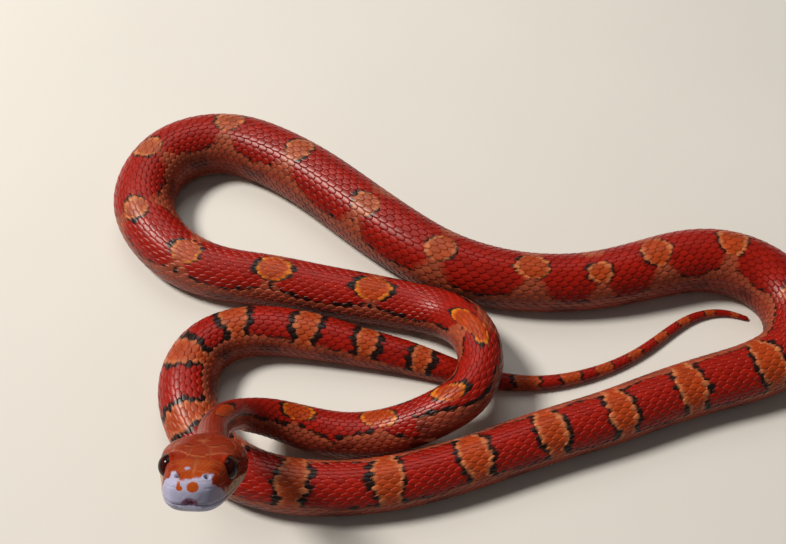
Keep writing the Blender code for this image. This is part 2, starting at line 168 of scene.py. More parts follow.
class Snake:
    """The course of the snake and its sections, read by the length from its snout."""

    def __init__(self):
        self.pose = Matrix.Translation(SNOUT) @ Euler(HEAD_TURN, HEAD_ORDER).to_matrix().to_4x4()
        turned = np.array(self.pose.to_3x3())
        points = []
        for back in (AXIS_START, HEAD_LENGTH):
            points.append((*(self.pose @ Vector((0.0, back, 0.0))), NAPE_HALF))
        for x, y, lift, half in ROUTE:
            points.append((x, y, lift + BELLY * SECTION_HEIGHT * half, half))
        points = np.array(points)
        chords = np.linalg.norm(np.diff(points[:, :3], axis=0), axis=1)
        knots = np.concatenate([[0.0], np.cumsum(chords)])
        fine = np.linspace(0.0, knots[-1], COURSE_STEPS)
        line = Curve(knots, points).read(fine)
        along = np.linalg.norm(np.diff(line[:, :3], axis=0), axis=1)
        along = np.concatenate([[0.0], np.cumsum(along)])
        along += HEAD_LENGTH - np.interp(knots[1], fine, along)
        self.length = float(along[-1])
        self.s = np.append(np.arange(0.0, self.length, STATION), self.length)
        on_head = self.s <= HEAD_LENGTH

        def course(where):
            return np.stack([np.interp(where, along, line[:, i]) for i in range(3)], axis=1)

        axis = np.array(SNOUT) + self.s[:, None] * turned[:, 1]
        place = np.where(on_head[:, None], axis, course(self.s))
        # a known fault: in front of AXIS_START the course stands still, so way is no number
        # there, and the foremost scales of the throat have points without a place
        way = unit(course(self.s + 0.5) - course(self.s - 0.5))
        side = unit(np.cross(way, (0.0, 0.0, 1.0)))
        stiff = 1.0 - smooth(HEAD_LENGTH - HEAD_STIFF, HEAD_LENGTH + HEAD_STIFF, self.s)[:, None]
        side = unit(stiff * turned[:, 0] + (1.0 - stiff) * side)
        up = unit(stiff * turned[:, 2] + (1.0 - stiff) * np.cross(side, way))
        outline = Curve([row[0] for row in HEAD_OUTLINE], [row[1:] for row in HEAD_OUTLINE])
        head = outline.read(np.minimum(self.s, HEAD_LENGTH))
        half = np.where(on_head, head[:, 0], np.interp(self.s, along, line[:, 3]))
        over = np.where(on_head, head[:, 1], half * SECTION_HEIGHT)
        under = np.where(on_head, head[:, 2], half * SECTION_HEIGHT * BELLY)
        body = smooth(HEAD_LENGTH - HEAD_INTO_BODY, HEAD_LENGTH + HEAD_INTO_BODY, self.s)
        self.rows = np.column_stack([place, side, up, half, over, under, body])
        mouth = Curve([row[0] for row in MOUTH_LINE], [row[1:] for row in MOUTH_LINE])
        self.mouth = mouth.read(np.minimum(self.s, HEAD_LENGTH))[:, 0]

        turns = np.linspace(0.0, 2.0 * math.pi, SECTION_STEPS)
        across, height = loaf(turns)
        arcs = np.concatenate([[0.0], np.cumsum(np.hypot(np.diff(across), np.diff(height)))])
        self.girth = float(arcs[-1])
        self.crown = float(np.interp(math.pi / 2.0, turns, arcs))
        self.turns, self.arcs = turns, arcs

    def read(self, s, column):
        return np.interp(s, self.s, self.rows[:, column])

    def half(self, s):
        return self.read(s, 9)

    def turn_of(self, arc):
        return np.interp((arc + self.crown) % self.girth, self.arcs, self.turns)

    def arc_of(self, turn):
        arc = np.interp(turn % (2.0 * math.pi), self.turns, self.arcs) - self.crown
        return np.where(arc > self.girth / 2.0, arc - self.girth, arc)

    def section(self, s, turn):
        """Across and height on the section, in mm, on the outer surface."""
        half, over, under, body = (self.read(s, i) for i in range(9, 13))
        rise = np.sin(turn)
        power = 2.0 / np.where(rise > 0.0, table(HEAD_SQUARE, s), JAW_SQUARE)
        across = powered(np.cos(turn), power)
        height = powered(rise, power) * np.where(rise > 0.0, over, under)
        body_across, body_height = loaf(turn)
        across = across + (body_across - across) * body
        height = height + (body_height * half - height) * body
        from_eye = np.hypot(s - EYE_BACK, height - EYE_UP)
        dent = ORBIT_DEPTH * hill(from_eye, ORBIT_REACH) * np.minimum(1.0, across ** 2)
        return across * half - np.sign(across) * dent, height

    def point(self, s, turn, out=0.0):
        """The place at s and turn, a little out of the outer surface or in from it."""
        across, height = self.section(s, turn)
        grow = 1.0 + out / np.maximum(np.hypot(across, height), 0.2)
        across, height = across * grow, height * grow
        read = [self.read(s, i) for i in range(9)]
        made = [read[i] + read[3 + i] * across + read[6 + i] * height for i in range(3)]
        made[2] = np.maximum(made[2], FLOOR_CLEARANCE)
        return np.stack(made, axis=-1)

    def mouth_turn(self, s):
        """The turn of the line of the mouth on the snake's left."""
        under = self.read(s, 11)
        depth = np.clip(-np.interp(s, self.s, self.mouth) / under, 0.0, 0.999)
        return -np.arcsin(depth ** (JAW_SQUARE / 2.0))

    def to_world(self, local):
        turned = np.array(self.pose.to_3x3())
        return local @ turned.T + np.array(SNOUT)


snake = Snake()

# The markings

COLOUR = {
    "red": (0.265, 0.0068, 0.0012),
    "red_deep": (0.145, 0.0048, 0.002),
    "orange": (0.335, 0.036, 0.003),
    "salmon": (0.34, 0.083, 0.036),
    "amber": (0.64, 0.195, 0.011),
    "pale_rim": (0.53, 0.185, 0.085),
    "black": (0.012, 0.004, 0.003),
    "flank": (0.26, 0.040, 0.019),
    "flank_dark": (0.095, 0.009, 0.005),
    "belly": (0.62, 0.36, 0.24),
    "belly_dark": (0.16, 0.03, 0.02),
    "head": (0.235, 0.024, 0.002),
    "head_deep": (0.18, 0.009, 0.002),
    "wedge": (0.22, 0.014, 0.002),
    "muzzle": (0.35, 0.345, 0.49),
    "snout_spot": (0.36, 0.062, 0.009),
    "plate_edge": (0.52, 0.19, 0.07),
    "lip_pink": (0.25, 0.11, 0.19),
    "notch_painted_shade": (0.085, 0.022, 0.062),
    "cream": (0.46, 0.34, 0.25),
    "painted_hollow_shade": (0.030, 0.010, 0.008),
    "iris": (0.036, 0.005, 0.004),
    "pupil": (0.004, 0.002, 0.002),
    "eye_rim": (0.012, 0.003, 0.003),
}
COLOUR = {name: np.array(value) for name, value in COLOUR.items()}

# The pale patches down the back: place from the snout, lean from the crown, half length
# along the body, and half width across it in the body's half widths.
PATCHES = [
    (35.6, -0.48, 4.4, 0.50), (60.6, 0.30, 3.5, 0.50), (78.5, 0.33, 4.0, 0.50),
    (93.4, 0.20, 2.7, 0.46), (110.3, 0.14, 5.0, 0.40), (136.8, 0.10, 3.7, 0.56),
    (158.4, 0.02, 3.6, 0.55), (177.7, 0.14, 3.1, 0.48), (194.0, 0.29, 2.5, 0.45),
    (211.1, 0.20, 2.8, 0.48), (230.6, 0.18, 3.0, 0.50), (249.8, 0.08, 3.0, 0.52),
    (272.3, -0.25, 3.0, 0.42), (292.1, -0.22, 3.0, 0.46), (311.4, -0.02, 3.5, 0.50),
    (325.3, -0.38, 2.4, 0.37), (338.4, 0.04, 3.1, 0.58), (354.8, 0.18, 2.8, 0.62),
    (372.4, 0.10, 2.8, 0.75), (392.1, 0.24, 2.8, 0.85), (408.9, 0.28, 2.8, 0.85),
    (424.0, 0.26, 2.6, 0.85), (438.3, 0.20, 2.7, 0.85), (453.7, 0.06, 2.9, 0.86),
    (470.2, 0.18, 2.8, 0.86), (487.3, 0.08, 2.7, 0.87), (500.4, 0.20, 2.4, 0.87),
    (511.8, 0.36, 2.4, 0.87), (525.5, 0.26, 2.5, 0.88), (537.4, 0.32, 2.5, 0.88),
    (552.1, 0.04, 2.3, 0.88), (564.7, 0.06, 2.1, 0.88), (576.2, -0.20, 1.9, 0.88),
    (587.4, 0.00, 2.3, 0.90), (597.9, 0.00, 2.6, 0.90), (607.0, 0.00, 2.1, 0.90),
    (614.4, 0.00, 1.8, 0.90), (622.1, 0.00, 1.7, 0.90), (629.4, 0.00, 1.6, 0.90),
    (636.4, 0.00, 1.4, 0.90), (642.9, 0.00, 1.2, 0.90), (648.4, 0.00, 0.9, 0.90),
]

# More of the pattern against the length from the snout. First how far the patches lie
# aslant, how square they are, and how much of their length their stems keep down the side.
PATCH_SLANT = [(66, 0.0), (78.5, -0.05), (93.4, -0.10), (100, 0.0), (110.3, 0.08), (120, 0.0)]
PATCH_SQUARE = [(20, 2.4), (150, 2.0), (350, 2.1), (400, 2.6)]
STEM_SHARE = [(48, 0.0), (60, 0.35), (80, 0.35), (88, 0.0), (100, 0.0), (110, 0.5), (137, 0.45),
              (158, 0.6), (194, 0.6), (230, 0.8), (300, 0.75), (355, 0.75), (400, 0.72),
              (580, 0.85), (600, 1.0)]
BANDS_START, BANDS_WHOLE = 350.0, 385.0
# The saddles' lower edge from the line of the patches, and how much sooner it comes on the
# far side, in half widths.
SADDLE_EDGE = [(20, 0.95), (60, 0.92), (150, 1.0), (260, 1.12), (360, 1.18), (400, 1.08),
               (500, 1.08), (520, 0.92), (560, 0.95), (590, 1.4), (610, 2.4), (660, 2.6)]
FAR_SIDE_SOONER = [(380, 0.0), (400, 0.26), (490, 0.26), (505, 0.0)]
# The black beside the patches and under the saddles, in mm.
BLACK_EDGE = [(35, 0.8), (41, 2.0), (50, 0.85), (100, 0.8), (125, 1.2), (158, 1.4), (180, 1.0),
              (200, 0.65), (240, 0.5), (272, 0.75), (300, 0.55), (360, 0.6), (390, 0.9),
              (480, 1.05), (520, 1.2), (545, 1.45), (590, 1.3), (602, 0.45), (660, 0.25)]
BLACK_LINE = [(20, 0.4), (60, 0.55), (150, 0.55), (200, 0.25), (400, 0.3), (660, 0.2)]
LINE_END = 560.0
# How orange the patches are, and how strong and how amber their rims.
PATCH_WARMTH = [(150, 1.0), (175, 0.65), (200, 0.25), (270, 0.35), (310, 0.85), (400, 0.95),
                (470, 0.9), (500, 0.8), (660, 0.9)]
RIM_STRENGTH = [(40, 0.3), (55, 1.0), (480, 1.0), (500, 0.7), (585, 0.6), (605, 0.15)]
RIM_AMBER = [(20, 0.6), (60, 1.0), (170, 1.0), (185, 0.3), (660, 0.1)]

# On the head: the pale vee between the eyes and the front of the wedges before it, by the
# place across, and the upper edge of the pale lips, by the length back.
VEE = [(-4.6, 8.9), (-3.8, 8.25), (-2.2, 7.2), (-1.4, 6.5), (-0.8, 6.15), (0.8, 6.15), (1.2, 6.7),
       (2.0, 7.0), (2.8, 7.3), (3.5, 7.7), (4.4, 8.6)]
WEDGE_FRONT = [(0.5, 6.1), (0.85, 5.4), (1.4, 5.15), (2.2, 5.05), (3.4, 5.1), (4.2, 5.4)]
LIP_EDGE = [(0, 1.5), (2.4, 1.0), (3.2, 0.0), (4.3, -0.45), (6.1, -0.6), (8, -0.5), (13, -1.1)]
# The muzzle's edge over the snout, by the place across, and down each side, by the height.
MUZZLE_OVER = [(-2.8, 2.75), (-2.4, 2.65), (-1.9, 1.9), (-1.65, 1.0), (-1.2, 0.8), (-0.4, 0.85),
               (0.2, 1.15), (1.15, 1.4), (1.35, 1.85), (1.9, 2.25), (2.6, 2.45)]
MUZZLE_LEFT = [(-2.0, 4.2), (-0.5, 3.1), (0.0, 2.4), (0.6, 1.6), (1.1, 1.1), (1.6, 1.5), (1.9, 2.4)]
MUZZLE_RIGHT = [(-2.0, 4.6), (-0.5, 3.9), (0.0, 3.2), (1.0, 2.4), (1.5, 1.85), (1.9, 2.7)]
# Dark dashes on the crown: across, back and length. Snout spots: across, height and reaches.
DASHES = [(-1.9, 9.75, 0.65), (1.75, 9.9, 0.8), (3.1, 11.0, 0.5), (-0.35, 7.9, 0.2),
          (0.3, 9.3, 0.25), (-1.0, 12.5, 0.35), (0.6, 12.6, 0.35), (-3.3, 11.2, 0.5)]
SNOUT_SPOTS = [(0.30, 0.89, 0.84, 0.68), (-1.44, 0.66, 0.50, 0.34), (-1.58, 1.12, 0.26, 0.36)]
CROWN_STAR = -0.2, 12.1


def blend(first, second, share):
    return first + (second - first) * np.asarray(share)[..., None]


def tint(tone, name, share):
    """One of the named colours laid over a tone."""
    return blend(tone, COLOUR[name], share)


def ripple(s, arc, seed):
    """A smooth field of bumps between about -1 and 1, the same every time."""
    field = np.sin(1.31 * s + 2.7 * arc + seed) * np.cos(0.77 * s - 4.1 * arc + 2.3 * seed)
    field += 0.6 * np.sin(2.9 * s - 6.3 * arc + 1.7 * seed) * np.cos(1.9 * s + 5.2 * arc + seed)
    return field / 1.3


def flank_markings(s, arc, down, past, swing):
    """The side below the saddles: a paler streak, a row of dark blotches, then the belly."""
    flank = tint(COLOUR["flank"], "salmon", 0.55 * hill(past - 0.13, 0.12))
    flank = tint(flank, "flank_dark", 0.85 * (smooth(0.0, 0.9, swing) * hill(past - 0.50, 0.26)))
    flank = blend(flank, COLOUR["flank"] * 0.75, smooth(1.7, 2.1, down))
    check = smooth(0.1, 0.5, np.sin(s * 0.83) * np.sin(arc * 4.1 + 0.35 * s))
    belly = tint(COLOUR["belly"], "belly_dark", check)
    flank = blend(flank, belly, smooth(VENTRAL_EDGE, 2.45, down))
    near_head = 0.7 * smooth(54.0, 30.0, s) * smooth(2.2, 1.9, down)
    return blend(flank, COLOUR["head"] * 1.1, near_head)


def body_markings(s, arc):
    """The colour at a place on the body."""
    places, leans, half_lengths, half_widths = np.array(PATCHES).T
    after = np.clip(np.searchsorted(places, s), 1, len(PATCHES) - 1)
    nearer = after - (np.abs(s - places[after - 1]) < np.abs(places[after] - s))
    centre, half_length = places[nearer], half_lengths[nearer]
    from_centre = np.abs(s - centre)
    gap = np.interp(s, (places[1:] + places[:-1]) / 2.0, np.diff(places))
    off = arc - np.interp(s, places, leans) - table(PATCH_SLANT, s) * (s - centre)
    down = np.abs(off)
    wobble = ripple(s, arc, 0.4)
    banded = smooth(BANDS_START, BANDS_WHOLE, s)

    # the patch is a rounded shield, and further back a band down the side as well
    wide = np.interp(s, places, half_widths)
    square = table(PATCH_SQUARE, s)
    shield = half_length * held(1.0 - (down / wide) ** square) ** (1.0 / square)
    shield = np.where(down < wide, shield, -1.0)
    stem_share = table(STEM_SHARE, s)
    stem = half_length * stem_share * (0.80 + 0.45 * smooth(0.9, 1.7, down)) - (1.0 - banded) * 9.0
    inside = np.maximum(shield, stem) + 0.25 * wobble - from_centre

    # the saddles between, down to their rounded lower edge
    sag = held(from_centre / np.maximum(gap, 4.0) * 2.0)
    lower = table(SADDLE_EDGE, s) + 0.16 * sag ** 2 - 0.06 + 0.05 * wobble
    lower = lower - 0.14 * (1.0 - sag) ** 2 * (1.0 - banded) * smooth(45.0, 60.0, s)
    lower = lower - table(FAR_SIDE_SOONER, s) * (off < 0.0)
    below = (down - lower) * snake.half(s)
    red = tint(COLOUR["red"], "red_deep", smooth(0.5, 1.3, down) * 0.35)
    red = tint(red, "head", 0.75 * smooth(48.0, 24.0, s))
    swing = np.cos(2.0 * math.pi * (s - centre) / np.maximum(gap, 4.0)) * -1.0 + 0.5 * wobble
    flank = flank_markings(s, arc, down, down - lower, swing)
    tone = blend(red, flank, smooth(-0.25, 0.25, below))

    # nearer the head the stem is a soft fan of the flank's colour between two saddles
    fan_reach = half_length * stem_share * (0.62 + 0.75 * smooth(0.0, 0.55, down - wide))
    fan = smooth(-0.9, 0.9, fan_reach + 0.35 * wobble - from_centre) * smooth(-0.12, 0.03, down - wide)
    fan = fan * (1.0 - banded) * smooth(0.0, 0.3, stem_share) * smooth(0.2, 0.5, np.abs(arc))
    tone = blend(tone, tint(COLOUR["flank"], "salmon", 0.75), 0.85 * fan * (below < 0.0))

    # the black edge, broken here and there, along the patches and under the saddles
    width = table(BLACK_EDGE, s) * (0.95 + 0.55 * ripple(s * 0.6, arc * 1.3, 2.1))
    beside = (inside < 0.0) & (inside > -width) & (down < lower + 0.10)
    line_width = table(BLACK_LINE, s) * (0.55 + 0.7 * ripple(s, arc, 5.2))
    under_line = (np.abs(below) < line_width) & (s < LINE_END) & (fan < 0.4)
    tone = np.where((beside | under_line)[..., None], COLOUR["black"], tone)

    # the patch itself, with its paler rim
    patch = tint(COLOUR["salmon"], "orange", table(PATCH_WARMTH, s))
    rim_tone = tint(COLOUR["pale_rim"], "amber", table(RIM_AMBER, s))
    rim = (1.0 - smooth(0.25, 0.90, inside)) * (0.72 + 0.2 * wobble)
    rim = rim * (1.0 - 0.7 * smooth(0.9, 1.4, down)) * table(RIM_STRENGTH, s)
    patch = blend(patch, rim_tone, held(rim))
    patch = blend(patch, flank, smooth(0.75, 1.6, down) * 0.72)
    return np.where((inside >= 0.0)[..., None] & (down < 2.3)[..., None], patch, tone)


def crown_markings(tone, x, back, z, mottle):
    """The top of the head: the forehead, the wedges, the vee, the dashes and the star."""
    across = np.abs(x)
    on_top = z > 1.2
    vee = table(VEE, x) + 0.18 * ripple(x * 2.6, back, 0.8)
    forehead = smooth(vee - 0.2, vee - 1.6, back) * smooth(2.9, 1.6, across - 0.25 * (back - 4.0))
    tone = tint(tone, "snout_spot", held(0.60 - 0.35 * mottle) * forehead * on_top)
    wedge = smooth(-0.10, 0.20, back - table(WEDGE_FRONT, across)) * smooth(0.10, -0.15, back - vee)
    tone = tint(tone, "wedge", 0.90 * wedge * smooth(0.55, 0.95, across) * on_top)
    vee_line = hill(back - vee, 0.18) * (0.62 + 0.38 * ripple(x * 4.0, back, 2.2))
    tone = tint(tone, "plate_edge", 0.70 * vee_line * smooth(4.6, 3.9, across) * (z > 1.6))
    middle_seam = hill(x - 0.08, 0.10) * smooth(1.7, 2.4, back) * smooth(5.6, 5.0, back)
    tone = tint(tone, "plate_edge", 0.50 * middle_seam * on_top)
    tone = tint(tone, "head_deep", 0.30 * (smooth(9.6, 10.8, back) * (z > 1.0)))
    for dash_x, dash_back, long in DASHES:
        slope = 0.45 * math.copysign(1.0, dash_x) * (x - dash_x)
        reach = hill((x - dash_x) / long, 1.0) ** 2
        pale = hill((back - dash_back + 0.38 - slope) / 0.13, 1.0) * reach
        tone = tint(tone, "plate_edge", 0.35 * held(1.5 * pale) * on_top)
        dash = hill((back - dash_back - slope) / 0.14, 1.0) * reach
        tone = tint(tone, "black", 0.85 * held(1.5 * dash) * on_top)
    star_x, star_back = x - CROWN_STAR[0], back - CROWN_STAR[1]
    ray = np.cos(5.0 * np.arctan2(star_back, star_x))
    star = hill(np.hypot(star_x, star_back * 0.55), 0.46 + 0.20 * ray)
    return tint(tone, "plate_edge", 0.55 * star * on_top)


def cheek_markings(tone, x, back, z, grain):
    """The side of the head: a red stripe from the eye to the mouth's corner, over pale lips."""
    side_on = smooth(2.6, 3.4, np.abs(x))
    stripe_at = 1.25 - 0.36 * (back - 8.2)
    stripe = hill(z - stripe_at, 0.95) * smooth(7.4, 8.4, back) * smooth(17.0, 14.5, back) * side_on
    tone = tint(tone, "red_deep", 0.9 * held(stripe * 1.5))
    edge = hill(z - stripe_at - 1.05, 0.16) + hill(z - stripe_at + 1.05, 0.16)
    edge = edge * smooth(8.4, 9.0, back)
    tone = tint(tone, "black", 0.75 * edge * side_on * smooth(15.5, 13.5, back))
    lips = smooth(0.12, -0.12, z - table(LIP_EDGE, back) - 0.10 * grain) * side_on
    lip_tone = tint(COLOUR["cream"], "head", held(0.15 + 0.30 * grain))
    tone = blend(tone, lip_tone, lips * smooth(3.0, 4.2, back) * smooth(14.0, 12.6, back))
    under_eye = hill(np.hypot((back - 4.8) * 0.9, z - 0.1), 0.85) * side_on
    return tint(tone, "red_deep", 0.85 * held(under_eye * 1.4))


def muzzle_markings(tone, x, back, z):
    """The pale muzzle with its spots, the notch under the snout with painted shade in its core, and a
    painted highlight along the lower lip.
    """
    across = np.abs(x)
    over_edge = table(MUZZLE_OVER, x)
    side_edge = np.where(x > 0.0, table(MUZZLE_LEFT, z), table(MUZZLE_RIGHT, z))
    edge = over_edge + (side_edge - over_edge) * smooth(2.0, 1.75, z) * smooth(2.3, 2.7, across)
    edge = edge + 0.14 * ripple(x * 3.0, z * 2.0, 1.2)
    below = smooth(-0.9, -1.7, z) * smooth(13.0, 8.0, back)
    pale = tint(COLOUR["muzzle"], "cream", smooth(2.5, 6.0, back))
    # on the snake's left side only, the pale muzzle is tinted towards the head's red-brown: partly the
    # lores' own brown, partly painted shade on that side
    pale = tint(pale, "head", 0.22 * smooth(2.3, 3.2, x) * smooth(-2.2, -1.0, z))
    tone = blend(tone, pale, np.maximum(smooth(0.22, -0.22, back - edge), below))
    speck_bumps = 0.10 * ripple(x * 6.0, back * 4.0, 0.4)
    speck = hill(np.hypot(x + 0.9, (back - 3.0) * 1.1) + speck_bumps, 0.42)
    tone = tint(tone, "muzzle", 0.9 * smooth(0.25, 0.7, speck) * (z > 1.2))
    spot_bumps = ripple(x * 5.0, z * 4.0, 0.3) * 0.06
    for spot_x, spot_z, wide, high in SNOUT_SPOTS:
        spot = hill(np.hypot((x - spot_x) / wide, (z - spot_z) / high), 1.0) + spot_bumps
        tone = tint(tone, "snout_spot", smooth(0.34, 0.50, spot) * smooth(1.6, 1.0, back))
    height = np.where(back < 1.2, z, 9.0)
    notch = smooth(1.08, 0.84, np.hypot(x / 1.12, (height + 1.40) / 0.92))
    tone = tint(tone, "lip_pink", notch * smooth(-1.68, -1.56, height))
    # painted shade: the notch's hollow darkened at its core, over its own pink
    notch_shade = smooth(1.15, 0.6, np.hypot((x - 0.1) / 0.66, (height + 1.18) / 0.27))
    tone = tint(tone, "notch_painted_shade", notch_shade)
    # painted highlight: a bright strip along the lower lip, paler than the muzzle, standing in for its
    # gloss
    lower_lip_highlight = smooth(0.27, 0.17, np.abs(height + 1.97)) * smooth(1.7, 1.3, across)
    return blend(tone, COLOUR["muzzle"] * 1.9, 0.9 * lower_lip_highlight)


def head_markings(x, back, z):
    """The colour at a place on the head, in its own frame."""
    grain = ripple(back * 2.1, x * 0.8 + z, 3.3)
    mottle = ripple(x * 5.2, back * 3.6, 2.9)
    tone = tint(COLOUR["head"], "head_deep", held(0.35 + 0.30 * grain + 0.35 * mottle))
    tone = crown_markings(tone, x, back, z, mottle)
    return muzzle_markings(cheek_markings(tone, x, back, z, grain), x, back, z)


def markings(s, arc):
    """The colour anywhere on the snake."""
    s, arc = np.broadcast_arrays(np.asarray(s, dtype=float), np.asarray(arc, dtype=float))
    x, z = snake.section(s, snake.turn_of(arc))
    nape = tint(COLOUR["head_deep"], "head", 0.35 + 0.3 * ripple(s, arc, 0.9))
    nape = tint(nape, "red_deep", smooth(1.1, 1.6, np.abs(arc)) * 0.7)
    body = blend(nape, body_markings(s, arc), smooth(26.0, 33.0, s + 2.0 * ripple(s, arc, 1.1)))
    return blend(head_markings(x, s, z), body, smooth(14.0, 17.5, s))


# Mesh making


def lay_markings(mesh, tones):
    """Give each point of a mesh its colour."""
    colour = mesh.color_attributes.new("markings", "FLOAT_COLOR", "POINT")
    colour.data.foreach_set("color", np.column_stack([tones, np.ones(len(tones))]).ravel())


def mesh_object(name, points, faces, tones, smooth_faces=None, patches=None):
    """A mesh object from points in mm, with its markings and, for a coat, its bake map."""
    mesh = bpy.data.meshes.new(name)
    mesh.from_pydata((points * MM).tolist(), [], faces)
    lay_markings(mesh, tones)
    if smooth_faces is None:
        smooth_faces = np.ones(len(mesh.polygons), dtype=bool)
    mesh.polygons.foreach_set("use_smooth", smooth_faces)
    if patches is not None:
        corner = np.empty(len(mesh.loops), dtype=np.int32)
        mesh.loops.foreach_get("vertex_index", corner)
        mesh.uv_layers.new(name="OFBake").data.foreach_set("uv", patches[corner].ravel())
    made = bpy.data.objects.new(name, mesh)
    bpy.context.scene.collection.objects.link(made)
    return made


# The head's plates

# Seams seen from above: across and back from the snout. The far side is their mirror image.
TOP_SEAMS = [
    [(0.0, 0.75), (0.0, 5.9)],
    [(0.0, 0.75), (0.9, 0.55), (1.7, 0.75)],
    [(0.0, 2.55), (1.2, 2.45), (2.6, 2.75)],
    [(0.0, 5.85), (0.8, 5.95), (1.75, 5.55), (2.7, 5.3), (3.6, 5.1)],
    [(1.75, 5.55), (1.5, 7.0), (1.25, 8.6), (1.05, 9.2)],
    [(1.05, 9.2), (0.55, 9.9), (0.0, 10.4)],
    [(1.05, 9.2), (2.1, 9.25), (3.2, 9.35), (3.9, 9.5)],
    [(0.0, 10.4), (0.0, 14.6)],
    [(3.9, 9.5), (4.4, 10.8), (4.3, 12.4), (3.6, 14.0), (2.3, 14.9), (1.0, 14.8), (0.0, 14.6)],
]
# Seams seen from the side: back from the snout and height.
SIDE_SEAMS = [
    [(0.35, 0.7), (0.9, 0.55), (1.9, 0.5), (3.0, 0.45), (4.3, 0.3), (5.2, -0.15), (7.4, -0.45),
     (8.6, 0.0), (10.4, -0.1), (12.0, -0.35), (13.2, -1.1)],
    [(1.0, 1.55), (0.95, 0.6)],
    [(3.05, 2.35), (3.05, 0.45)],
    [(3.05, 1.55), (4.4, 1.75)],
    [(4.45, 2.75), (4.35, 1.7), (4.4, 0.3)],
    [(8.6, 0.0), (8.9, 1.4), (8.7, 3.0)],
    [(8.9, 1.4), (9.9, 1.3), (10.6, 1.25)],
    [(9.9, 2.6), (9.9, 1.3), (10.1, -0.1)],
    [(12.1, 2.5), (12.0, 1.0), (12.0, -0.35)],
    [(9.9, 1.3), (12.0, 1.05), (13.4, 0.9)],
    [(1.9, 0.5), (1.8, -1.7)],
    [(3.1, 0.45), (3.1, -1.75)],
    [(4.3, 0.3), (4.5, -1.8)],
    [(5.6, -0.25), (5.9, -1.85)],
    [(7.4, -0.45), (7.5, -1.85)],
    [(9.0, -0.05), (9.2, -1.8)],
    [(10.9, -0.15), (11.0, -1.6)],
    [(0.6, -1.75), (0.9, -2.45), (2.2, -2.75), (4.5, -2.85), (7.0, -2.9), (10.0, -2.8), (12.8, -2.2)],
    [(1.6, -1.35), (1.9, -2.7)],
    [(2.8, -1.4), (3.1, -2.8)],
    [(4.1, -1.5), (4.4, -2.85)],
    [(5.5, -1.6), (5.8, -2.9)],
    [(7.0, -1.7), (7.3, -2.9)],
    [(8.6, -1.75), (8.9, -2.85)],
    [(10.3, -1.7), (10.5, -2.75)],
]
SEAM_STEP = 0.04


def walk(points):
    """Points along a polyline, close together."""
    points = np.array(points, dtype=float)
    lengths = np.linalg.norm(np.diff(points, axis=0), axis=1)
    knots = np.concatenate([[0.0], np.cumsum(lengths)])
    where = np.linspace(0.0, knots[-1], max(2, int(knots[-1] / SEAM_STEP)))
    return np.stack([np.interp(where, knots, points[:, i]) for i in range(2)], axis=1)


def turn_from_above(back, across):
    share = np.clip(across / snake.half(back), 0.0, 0.999)
    return np.arccos(share ** (table(HEAD_SQUARE, back) / 2.0))


def turn_from_side(back, height):
    over, under = snake.read(back, 10), snake.read(back, 11)
    rise = np.clip(height / over, 0.0, 0.999) ** (table(HEAD_SQUARE, back) / 2.0)
    drop = np.clip(-height / under, 0.0, 0.999) ** (JAW_SQUARE / 2.0)
    return np.where(height > 0.0, np.arcsin(rise), -np.arcsin(drop))


def seam_tree():
    """All seams as points on the head, in its own frame."""
    found = []
    for seam in TOP_SEAMS:
        steps = walk(seam)
        found.append(np.column_stack([steps[:, 1], turn_from_above(steps[:, 1], steps[:, 0])]))
    for seam in SIDE_SEAMS:
        steps = walk(seam)
        found.append(np.column_stack([steps[:, 0], turn_from_side(steps[:, 0], steps[:, 1])]))
    found = np.concatenate(found)
    across, height = snake.section(found[:, 0], found[:, 1])
    places = np.column_stack([across, found[:, 0], height])
    places = np.concatenate([places, places * (-1.0, 1.0, 1.0)])
    tree = KDTree(len(places))
    for i, place in enumerate(places):
        tree.insert(place, i)
    tree.balance()
    return tree


def distances(tree, places):
    return np.array([tree.find(place)[2] for place in places])


# The skin

HEAD_RINGS, NECK_RINGS, NECK_END = 290, 28, 23.5
UPPER, LOWER = 204, 120
BODY_START, BODY_STEP, COARSER = 0.6, 1.12, 3
COAT_DEPTH = 0.20
CAP_SIZES = (0.15, 0.35, 0.55, 0.75, 0.9)
CAP_BULGE = 0.12
LIPS_END = 13.2
# Where the head's plates end and the scales begin, by the way round from the crown.
PLATES_END = [(0.0, 14.9), (0.35, 15.1), (0.75, 13.8), (0.85, 13.3), (1.2, 13.3), (1.55, 13.6),
              (1.95, 13.4), (2.1, 12.6), (2.4, 10.4), (2.8, 8.6), (3.1, 8.2)]


def head_turns(s):
    """The turns of one fine ring: from the left lip over the crown, then under the jaw."""
    line = snake.mouth_turn(s)[:, None]

    def spread(count, start, sweep):
        share = np.arange(count) / count
        return start + sweep * (share - 0.05 * np.sin(2.0 * math.pi * share))

    return np.concatenate([spread(UPPER, line, math.pi - 2.0 * line),
                           spread(LOWER, math.pi - line, math.pi + 2.0 * line)], axis=1)


def grid_normals(points):
    """Outward normals of a grid of rings."""
    around = np.roll(points, -1, axis=1) - np.roll(points, 1, axis=1)
    on = np.gradient(points, axis=0)
    return unit(np.cross(on, around) + 1e-12)


def plate_edge(arc):
    """How far back the head's plates reach at this place round the head."""
    return table(PLATES_END, np.abs(arc))


def coat_depth(s, arc):
    """How far the skin lies under the coat's outer surface."""
    deep = COAT_DEPTH * np.clip(snake.half(s) / 3.0, 0.22, 1.0)
    edge = plate_edge(arc)
    return deep * smooth(edge - 0.35, edge + 0.35, s) + 0.02


def eye_axis(side):
    """The way an eye looks: out, a little forward and up."""
    level = math.cos(EYE_RAISED)
    return np.array((side * level * math.cos(EYE_FORWARD), -level * math.sin(EYE_FORWARD),
                     math.sin(EYE_RAISED)))


